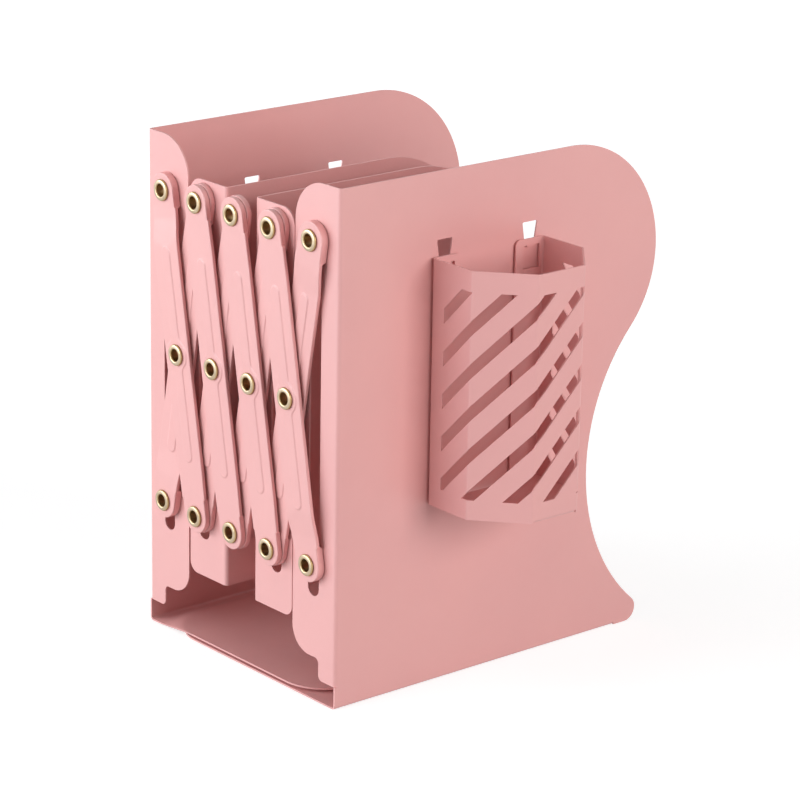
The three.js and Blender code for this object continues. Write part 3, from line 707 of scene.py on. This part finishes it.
class Arm:
    """A pressed arm. Its places are across and along from its middle, and out from the flanges."""

    def __init__(self, crossing, outer):
        self.outer = outer
        self.name = f"{'outer' if outer else 'inner'}_arm_{crossing}"
        upper, lower = (crossing, crossing + 1) if outer else (crossing + 1, crossing)
        self.top = rivet(f"top_rivet_{upper}")
        self.bottom = rivet(f"bottom_rivet_{lower}")
        self.middle = (self.top + self.bottom) / 2
        self.half = (self.top - self.bottom).length / 2
        self.along = (self.top - self.bottom).normalized()
        self.across = Vector((self.along.z, 0, -self.along.x))
        self.face = OUTER_FACE if outer else INNER_FACE
        self.end_radius = ARM_END_RADIUS + (0 if outer else INNER_END_EXTRA)
        self.cup_end = self.half - CUP_LENGTH
        self.set_far = self.cup_end - 2 * CUP_STEP
        self.set_near = self.half - RIB_FROM_END + GAP
        last = rivet_columns() - 1
        change = OUTER_SET if outer else INNER_SET
        upper_end, lower_end = (1, last) if outer else (last, 1)
        self.upper_set = change if crossing == upper_end else 0
        self.lower_set = change if crossing == lower_end else 0

    def face_at(self, along):
        """How far out the face is, which steps in or out at an end that has no partner."""
        share = smooth((abs(along) - self.set_near) / (self.set_far - self.set_near))
        return self.face - share * (self.upper_set if along > 0 else self.lower_set)

    def rim_at(self, along):
        """Where the side walls end: at the layer below at the cups, and short of it between."""
        layer = INNER_FACE + GAP if self.outer else GAP
        seated = self.upper_set if along > 0 else self.lower_set
        cup = GAP if seated else layer
        body = self.face_at(along) - ARM_BODY_DEPTH
        return body + (cup - body) * smooth((abs(along) - self.cup_end + CUP_STEP) / CUP_STEP)

    def row(self, across, along, out):
        """A place on the arm, in the frame."""
        place = self.middle + self.across * across + self.along * along
        return place - Vector((0, out, 0))

    def half_width(self, along):
        """Half the width: narrow along the cups, a small step wider past them, widest between."""
        jog = ARM_END_RADIUS + CUP_JOG - self.end_radius
        swell = (self.set_far - abs(along)) / (self.set_far - self.set_near)
        body = (ARM_HALF_WIDTH - ARM_END_RADIUS - CUP_JOG) * smooth(swell)
        return self.end_radius + jog * smooth((self.cup_end - abs(along)) / CUP_STEP) + body

    def outline(self, inset):
        """The arm's outline, drawn in by inset."""
        radius = self.end_radius - inset
        count = round(self.cup_end / ARM_STEP)
        places = [self.cup_end * i / count for i in range(-count, count + 1)]
        step = [self.cup_end - CUP_STEP * (i + 1) / CUP_STEP_POINTS for i in range(CUP_STEP_POINTS)]
        cup = [self.cup_end + CUP_LENGTH * i / CUP_POINTS for i in range(1, CUP_POINTS)]
        ends = step + cup
        places = sorted(places + ends + [-p for p in ends])
        right = [(self.half_width(p) - inset, p) for p in places]
        left = [(-across, along) for across, along in reversed(right)]
        return [
            *right,
            *arc((0, self.half), radius, 0, math.pi, ARM_END_STEPS),
            *left,
            *arc((0, -self.half), radius, math.pi, 2 * math.pi, ARM_END_STEPS),
        ]

    def emboss(self, spread):
        """The keyhole-shaped rib round the middle rivet, drawn outwards by spread."""
        pad = PAD_RADIUS if self.outer else INNER_PAD_RADIUS
        width = RIB_HALF_WIDTH
        centre_across = width + RIB_FILLET
        centre_along = math.sqrt((pad + RIB_FILLET) ** 2 - centre_across ** 2)
        lean = math.atan2(centre_along, centre_across)
        rib_end = self.half - RIB_FROM_END - width
        fillet = RIB_FILLET - spread
        turn = (math.pi + lean, math.pi, SMALL_CORNER_STEPS)
        quarter = [
            *arc((0, 0), pad + spread, 0, lean, PAD_STEPS),
            *arc((centre_across, centre_along), fillet, *turn)[1:],
        ]
        first = quarter[-1][1]
        steps = [(rib_end - first) * i / RIB_SIDE_STEPS for i in range(1, RIB_SIDE_STEPS + 1)]
        quarter += [(width + spread, first + step) for step in steps]
        quarter += arc((0, rib_end), width + spread, 0, QUARTER, SMALL_CORNER_STEPS)[1:]
        upper_left = [(-a, b) for a, b in reversed(quarter[:-1])]
        lower_left = [(-a, -b) for a, b in quarter[1:]]
        lower_right = [(a, -b) for a, b in reversed(quarter[1:-1])]
        return quarter + upper_left + lower_left + lower_right


def rivet_columns():
    """How many columns of rivets the linkage has."""
    return sum(name.startswith("top_rivet") for name in frame["nodes"])


def arm(crossing, outer):
    """The outer or the inner arm of a crossing, with a rib in its middle and a hole at each end."""
    part = Arm(crossing, outer)
    surface = Surface()
    front = Vector((0, -1, 0))

    def lifted(depth):
        """The way to write a place that lies a depth below the arm's face."""
        return lambda across, along: part.row(across, along, part.face_at(along) - depth)

    def away(place):
        """Sideways from the arm's middle line."""
        offset = place - part.middle
        along = min(max(offset.dot(part.along), -part.half), part.half)
        side = offset - part.along * along
        return Vector((side.x, 0, side.z)).normalized()

    outline = part.outline(ARM_EDGE)
    previous = [lifted(0)(*p) for p in outline]
    for i in range(1, ARM_EDGE_STEPS + 1):
        angle = QUARTER * i / ARM_EDGE_STEPS
        ring = part.outline(ARM_EDGE * (1 - math.sin(angle)))
        places = [lifted(ARM_EDGE * (1 - math.cos(angle)))(*p) for p in ring]
        surface.strip(previous, places, lambda place: away(place) + front)
        previous = places
    rim = [part.row(a, b, part.rim_at(b)) for a, b in part.outline(0)]
    surface.strip(previous, rim, away)

    ends = [circle((0, turn * part.half), HOLE_RADIUS) for turn in (-1, 1)]
    rings = []
    for i in range(RIB_STEPS + 1):
        share = i / RIB_STEPS
        spread = RIB_FLANK * (1 - 2 * share)
        rings.append((part.emboss(spread), RIB_HEIGHT * smooth(share)))
    surface.fill(outline, [*ends, rings[0][0]], lifted(0), front)
    for (low, low_height), (high, high_height) in zip(rings, rings[1:]):
        surface.strip([lifted(-low_height)(*p) for p in low],
                      [lifted(-high_height)(*p) for p in high], front)
    top_ring, top_height = rings[-1]
    if outer:
        surface.fill(top_ring, [circle((0, 0), HOLE_RADIUS)], lifted(-top_height), front)
    else:
        add_boss(surface, part, top_ring, top_height, lifted, front)

    piece = surface.finish(part.name + "_pressing")
    thicken(piece)
    dress(piece, part.name, part.name, PINK_COAT)


def add_boss(surface, part, ring, height, lifted, front):
    """The round boss in the middle of an inner arm, on which the outer arm turns."""
    circles = []
    for i in range(BOSS_STEPS + 1):
        share = i / BOSS_STEPS
        radius = BOSS_FOOT_RADIUS + (BOSS_CREST_RADIUS - BOSS_FOOT_RADIUS) * share
        level = height + (INNER_PAD_HEIGHT - height) * smooth(share)
        circles.append((circle((0, 0), radius), level))
    surface.fill(ring, [circles[0][0]], lifted(-height), front)
    for (low, low_height), (high, high_height) in zip(circles, circles[1:]):
        surface.strip([lifted(-low_height)(*p) for p in low],
                      [lifted(-high_height)(*p) for p in high], front)
    surface.fill(circles[-1][0], [circle((0, 0), HOLE_RADIUS)], lifted(-INNER_PAD_HEIGHT), front)


# Eyelets

def lathe(name, profile, centre, sides):
    """Turns a closed profile of radius and depth round the depth axis."""
    mesh = bmesh.new()
    rings = []
    for i in range(sides):
        angle = 2 * math.pi * i / sides
        x, z = math.cos(angle), math.sin(angle)
        rings.append([mesh.verts.new((centre.x + r * x, y, centre.z + r * z)) for r, y in profile])
    count = len(profile)
    for first, second in zip(rings, rings[1:] + rings[:1]):
        for j in range(count):
            k = (j + 1) % count
            mesh.faces.new([first[j], first[k], second[k], second[j]])
    bmesh.ops.recalc_face_normals(mesh, faces=mesh.faces)
    data = bpy.data.meshes.new(name)
    mesh.to_mesh(data)
    mesh.free()
    return new_object(name, data)


def eyelet(node, body):
    """A hollow rivet: a rounded ring in front, a barrel, and a rolled lip behind."""
    low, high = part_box(node)
    under = low.y + EYELET_CROWN
    rear = high.y - REAR_ROLL
    lip, roll = EYELET_LIP, REAR_LIP
    crown_inner = (BORE_RADIUS + lip, low.y + lip)
    crown_outer = (EYELET_RADIUS - lip, low.y + lip * EYELET_SHOULDER)
    shoulder = -QUARTER * EYELET_SHOULDER_TURN
    profile = [
        *arc(crown_inner, lip, math.pi, math.pi + QUARTER, EYELET_LIP_STEPS),
        *arc(crown_outer, lip, shoulder, 0, EYELET_LIP_STEPS),
        (EYELET_RADIUS, under),
        (BARREL_RADIUS, under),
        (BARREL_RADIUS, rear),
        (REAR_RADIUS, rear),
        *arc((REAR_RADIUS - roll, high.y - roll), roll, 0, QUARTER, REAR_LIP_STEPS),
        *arc((BORE_RADIUS + roll, high.y - roll), roll, QUARTER, math.pi, REAR_LIP_STEPS),
    ]
    piece = lathe(node + "_eyelet", profile, rivet(node), EYELET_SIDES)
    dress(piece, node, body, EYELET_BRASS)


# Pen holder

def pen_path():
    """The outer face of the pen holder's wall in plan: u out from the plate, and y."""
    near, far = HOOK_Y - PEN_WIDTH / 2, HOOK_Y + PEN_WIDTH / 2
    half_front = PEN_FRONT_WIDTH / 2
    lean = math.atan2(HOOK_Y - half_front - near, PEN_DEPTH - PEN_SIDE_DEPTH)
    mitre = SHEET / 2 * math.tan(lean / 2)
    front_mitre = SHEET / 2 * math.tan((QUARTER - lean) / 2)
    return [
        (PEN_STANDOFF, near + PEN_TAB_WIDTH),
        (PEN_STANDOFF, near),
        (PEN_SIDE_DEPTH + mitre, near),
        (PEN_DEPTH, HOOK_Y - half_front - front_mitre),
        (PEN_DEPTH, HOOK_Y + half_front + front_mitre),
        (PEN_SIDE_DEPTH + mitre, far),
        (PEN_STANDOFF, far),
        (PEN_STANDOFF, far - PEN_TAB_WIDTH),
    ]


class FoldedPath:
    """A path in plan with rounded corners, which a distance along it is looked up on."""

    def __init__(self, corners, radius):
        self.corners = [Vector(c) for c in corners]
        self.starts = [0.0]
        for a, b in zip(self.corners, self.corners[1:]):
            self.starts.append(self.starts[-1] + (b - a).length)
        self.radius = radius
        self.zones = []
        for i in range(1, len(corners) - 1):
            before = (self.corners[i] - self.corners[i - 1]).normalized()
            after = (self.corners[i + 1] - self.corners[i]).normalized()
            turn = before.angle(after)
            self.zones.append((i, before, after, turn, radius * math.tan(turn / 2)))

    def lines(self):
        """Where the sheet starts to bend, is bent further, and is straight again."""
        found = []
        for i, _, _, _, reach in self.zones:
            start = self.starts[i] - reach
            found += [start + 2 * reach * step / BEND_STEPS for step in range(BEND_STEPS + 1)]
        return found

    def straight(self, i):
        """Where the straight run from one corner to the next starts and ends."""
        return self.starts[i] + self.zones[i - 1][-1], self.starts[i + 1] - self.zones[i][-1]

    def at(self, distance):
        """The place at a distance along the path."""
        for i, before, after, turn, reach in self.zones:
            offset = distance - self.starts[i]
            if abs(offset) < reach:
                share = (offset + reach) / (2 * reach)
                start = self.corners[i] - before * reach
                inward = (after - before * before.dot(after)).normalized()
                centre = start + inward * self.radius
                angle = turn * share
                inwards = inward * self.radius * math.cos(angle)
                onwards = before * self.radius * math.sin(angle)
                return centre - inwards + onwards
        i = 0
        while i < len(self.corners) - 2 and distance > self.starts[i + 1]:
            i += 1
        a, b = self.corners[i], self.corners[i + 1]
        return a + (b - a) * (distance - self.starts[i]) / (b - a).length


def clipped(polygon, a, b, limit):
    """The part of a convex polygon where a * u + b * z is at most limit."""
    kept = []
    for (u, z), (nu, nz) in zip(polygon, polygon[1:] + polygon[:1]):
        here, there = a * u + b * z - limit, a * nu + b * nz - limit
        if here <= 0:
            kept.append((u, z))
        if here * there < 0:
            share = here / (here - there)
            kept.append((u + (nu - u) * share, z + (nz - z) * share))
    return kept


def slats(start, end):
    """The slanted openings on the unfolded wall, between two distances along it."""
    low, high = PEN_BOTTOM_Z + SLAT_MARGIN_BOTTOM, PEN_TOP_Z - SLAT_MARGIN_TOP
    left, right = start + SLAT_MARGIN_SIDE, end - SLAT_MARGIN_SIDE
    window = [(left, low), (right, low), (right, high), (left, high)]
    found = []
    for i in range(SLAT_COUNT):
        upper = PEN_BOTTOM_Z + SLAT_FIRST - i * SLAT_PITCH - start
        band = clipped(clipped(window, -1, 1, upper), 1, -1, SLAT_OPENING - upper)
        reach = [u for u, _ in band]
        if len(band) > 2 and max(reach) - min(reach) > SLAT_LEAST:
            found.append(band)
    return found


def pen_holder():
    """The pen holder, drawn flat with its openings and folded as it is filled."""
    node = "pen_holder"
    path = FoldedPath(pen_path(), PEN_BEND)
    surface = Surface()
    top, bottom = PEN_TOP_Z, PEN_BOTTOM_Z
    total = path.starts[-1]
    centre = Vector((RIGHT_X + PEN_DEPTH / 2, FRONT_Y + HOOK_Y, 0))

    def wall(distance, z):
        u, y = path.at(distance)
        return Vector((RIGHT_X + u, FRONT_Y + y, z))

    def away(place):
        return Vector((place.x - centre.x, place.y - centre.y, 0))

    front_start, front_end = path.straight(PEN_FRONT_CORNER)
    r = PEN_TAB_RADIUS
    outline = [
        (0, bottom),
        (front_start, bottom),
        (front_start, bottom + BEND),
        (front_end, bottom + BEND),
        (front_end, bottom),
        (total, bottom),
        *arc((total - r, top - r), r, 0, QUARTER, SMALL_CORNER_STEPS),
        *arc((r, top - r), r, QUARTER, math.pi, SMALL_CORNER_STEPS),
    ]
    near, far = path.starts[PEN_NEAR_CORNER], path.starts[PEN_FAR_CORNER]
    holes = slats(near, far)
    hook_in = PEN_WIDTH / 2 - HOOK_SPACING / 2
    half = WINDOW_WIDTH / 2
    for place in (near - hook_in, far + hook_in):
        holes.append([
            (place - half, HOOK_TOP_Z - WINDOW_HEIGHT),
            (place + half, HOOK_TOP_Z - WINDOW_HEIGHT),
            (place + half, HOOK_TOP_Z),
            (place - half, HOOK_TOP_Z),
        ])
    lines = [[(u, bottom), (u, top)] for u in path.lines()]
    surface.fill(outline, holes, wall, away, lines)

    add_pen_floor(surface, path, wall, front_start, front_end)
    for turn in (-1, 1):
        add_hook(surface, HOOK_Y + turn * HOOK_SPACING / 2)
    piece = surface.finish("pen_holder_sheet")
    thicken(piece)
    dress(piece, node, node, PINK_COAT)


def add_pen_floor(surface, path, wall, start, end):
    """The floor, bent in from the foot of the front face and cut clear of the other walls."""
    first, last = wall(start, 0), wall(end, 0)
    y0, y1 = first.y, last.y
    front_x = first.x
    down = Vector((1, 0, -1))
    for (a, az), (b, bz) in zip(BEND_ARC, BEND_ARC[1:]):
        surface.face([
            Vector((front_x - a, y0, PEN_BOTTOM_Z + az)),
            Vector((front_x - a, y1, PEN_BOTTOM_Z + az)),
            Vector((front_x - b, y1, PEN_BOTTOM_Z + bz)),
            Vector((front_x - b, y0, PEN_BOTTOM_Z + bz)),
        ], down)
    clear = SHEET + GAP
    foot, head = path.corners[PEN_FRONT_CORNER - 1:PEN_FRONT_CORNER + 1]
    slope = (head - foot).normalized()
    inward = Vector((-slope.y, slope.x)) * clear
    side = HOOK_Y - PEN_WIDTH / 2 + clear

    def on_slope(y):
        base = foot + inward
        return base.x + slope.x * (y - base.y) / slope.y

    near_y = y0 - FRONT_Y
    half = [
        (PEN_DEPTH - BEND, near_y),
        (min(on_slope(near_y), PEN_DEPTH - BEND), near_y),
        (on_slope(side), side),
        (PEN_STANDOFF + SHEET + GAP, side),
    ]
    mirrored = [(u, 2 * HOOK_Y - y) for u, y in reversed(half)]

    def floor(u, y):
        return Vector((RIGHT_X + u, FRONT_Y + y, PEN_BOTTOM_Z))

    surface.fill(half + mirrored, [], floor, Vector((0, 0, -1)))


def add_hook(surface, centre_y):
    """A tongue bent back out of the tab, through the hook hole and down behind the plate."""
    radius = SHEET
    back = -SHEET - GAP - SHEET
    route = [
        (PEN_STANDOFF + HOOK_ROOT, HOOK_TOP_Z),
        *arc((back + radius, HOOK_TOP_Z - radius), radius, QUARTER, math.pi, BEND_STEPS),
        (back, HOOK_TOP_Z - HOOK_DROP),
    ]
    near, far = FRONT_Y + centre_y - HOOK_WIDTH / 2, FRONT_Y + centre_y + HOOK_WIDTH / 2
    rows = [[Vector((RIGHT_X + u, y, z)) for y in (near, far)] for u, z in route]
    for first, second in zip(rows, rows[1:]):
        surface.face([*first, *reversed(second)], Vector((-1, 0, 1)))


# Stage

def stage():
    """A round pale floor, which turns into the backdrop's white far from the object."""
    mesh = bmesh.new()
    rim = circle((0, 0), FLOOR_RADIUS)
    mesh.faces.new([mesh.verts.new((x, y, -FLOOR_DROP)) for x, y in rim])
    data = bpy.data.meshes.new("floor")
    mesh.to_mesh(data)
    mesh.free()
    floor = new_object("floor", data)
    material, nodes, links, shader = node_material("pale_floor")
    shader.inputs["Base Color"].default_value = (FLOOR_TONE, FLOOR_TONE, FLOOR_TONE, 1)
    shader.inputs["Roughness"].default_value = FLOOR_ROUGHNESS
    shader.inputs["Specular IOR Level"].default_value = FLOOR_SPECULAR
    source = nodes.new("ShaderNodeTexCoord")
    away = nodes.new("ShaderNodeVectorMath")
    away.operation = "LENGTH"
    links.new(source.outputs["Object"], away.inputs[0])
    fade = remap(nodes, links, away.outputs["Value"], FLOOR_GLOW_NEAR, FLOOR_GLOW_FAR, *FLOOR_FADE)
    glow = nodes.new("ShaderNodeEmission")
    strength = seen(nodes, links, 0)
    links.new(fade, strength.inputs["To Max"])
    links.new(strength.outputs["Result"], glow.inputs["Strength"])
    both = nodes.new("ShaderNodeAddShader")
    links.new(shader.outputs["BSDF"], both.inputs[0])
    links.new(glow.outputs["Emission"], both.inputs[1])
    links.new(both.outputs["Shader"], nodes["Material Output"].inputs["Surface"])
    floor.data.materials.append(material)


def seen(nodes, links, otherwise):
    """Gives camera, metal and glass a strength of 1, or To Max, and other rays another one."""
    path = nodes.new("ShaderNodeLightPath")
    first = nodes.new("ShaderNodeMath")
    first.operation = "MAXIMUM"
    links.new(path.outputs["Is Camera Ray"], first.inputs[0])
    links.new(path.outputs["Is Glossy Ray"], first.inputs[1])
    both = nodes.new("ShaderNodeMath")
    both.operation = "MAXIMUM"
    links.new(first.outputs["Value"], both.inputs[0])
    links.new(path.outputs["Is Transmission Ray"], both.inputs[1])
    strengths = nodes.new("ShaderNodeMapRange")
    strengths.inputs["To Min"].default_value = otherwise
    links.new(both.outputs["Value"], strengths.inputs["Value"])
    return strengths


def world():
    """A white backdrop, which gives the object only a little light."""
    sky = bpy.data.worlds.new("white_studio")
    bpy.context.scene.world = sky
    sky.use_nodes = True
    nodes, links = sky.node_tree.nodes, sky.node_tree.links
    background = nodes["Background"]
    background.inputs["Color"].default_value = (1, 1, 1, 1)
    strength = seen(nodes, links, WORLD_LIGHT)
    links.new(strength.outputs["Result"], background.inputs["Strength"])


def softbox(name, place, size, power, colour):
    """A soft lamp, turned to the object's middle."""
    light = bpy.data.lights.new(name, "AREA")
    light.shape = "RECTANGLE"
    light.size, light.size_y = size
    light.energy = power
    light.color = colour
    lamp = new_object(name, light)
    lamp.location = place
    direction = Vector(LAMP_AIM) - Vector(place)
    lamp.rotation_euler = direction.to_track_quat("-Z", "Y").to_euler()


def lights():
    softbox("key", KEY_PLACE, KEY_SIZE, KEY_POWER, KEY_COLOUR)
    softbox("side", SIDE_PLACE, SIDE_SIZE, SIDE_POWER, SIDE_COLOUR)
    softbox("top", TOP_PLACE, TOP_SIZE, TOP_POWER, TOP_COLOUR)


def camera():
    """The photograph's viewpoint, with its slight roll."""
    az, el, roll = CAMERA_AZIMUTH, CAMERA_ELEVATION, CAMERA_ROLL
    back = Vector((math.sin(az) * math.cos(el), -math.cos(az) * math.cos(el), math.sin(el)))
    right = (-back).cross(Vector((0, 0, 1))).normalized()
    up = right.cross(-back)
    right_rolled = right * math.cos(roll) + up * math.sin(roll)
    up_rolled = up * math.cos(roll) - right * math.sin(roll)
    data = bpy.data.cameras.new("camera")
    data.lens = CAMERA_LENS
    data.sensor_width = CAMERA_SENSOR
    data.sensor_fit = "HORIZONTAL"
    view = new_object("camera", data)
    aim = AIM + Vector((CENTRE_X, FRONT_Y, 0))
    turn = Matrix((right_rolled, up_rolled, back)).transposed().to_4x4()
    view.matrix_world = Matrix.Translation(aim + back * CAMERA_DISTANCE) @ turn
    bpy.context.scene.camera = view


camera()
world()
lights()
stage()

for turn in (-1, 1):
    end_plate(turn)
    divider(turn)
for number in range(1, rivet_columns()):
    arm(number, True)
    arm(number, False)
for body_name, nodes_of_body in frame["record"]["behaviour"]["bodies"].items():
    for node_name in nodes_of_body:
        if "rivet" in node_name:
            eyelet(node_name, body_name)
pen_holder()

bpy.context.scene.view_settings.view_transform = "Standard"

bpy.context.view_layer.update()
